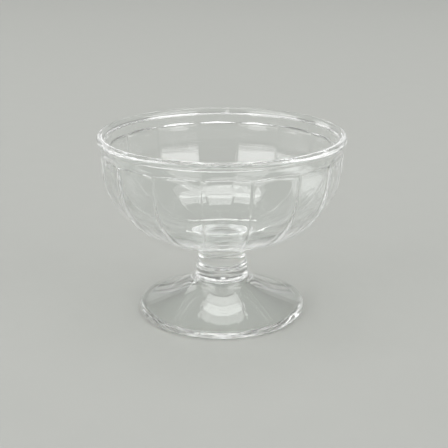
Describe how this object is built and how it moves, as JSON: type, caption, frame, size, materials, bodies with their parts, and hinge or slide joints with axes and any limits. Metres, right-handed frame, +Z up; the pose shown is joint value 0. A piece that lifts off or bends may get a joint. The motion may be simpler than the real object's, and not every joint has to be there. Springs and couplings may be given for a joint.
{
  "type": "dessert bowl",
  "caption": "Clear pressed-glass footed dessert bowl: a round panelled bowl with a rounded rim on a short solid stem and a low cone foot.",
  "frame": {"origin": "on the table, under the middle of the foot", "axes": "+Z up along the axis of the bowl, stem and foot; one panel of the bowl faces -Y"},
  "size_m": [0.105, 0.105, 0.079],
  "materials": {
    "clear_glass": "clear soda-lime pressed glass, fire-polished and glossy, with a faint green tint in thick places"
  },
  "bodies": {
    "root": {"bowl": "clear_glass", "stem": "clear_glass", "foot": "clear_glass"}
  },
  "joints": []
}
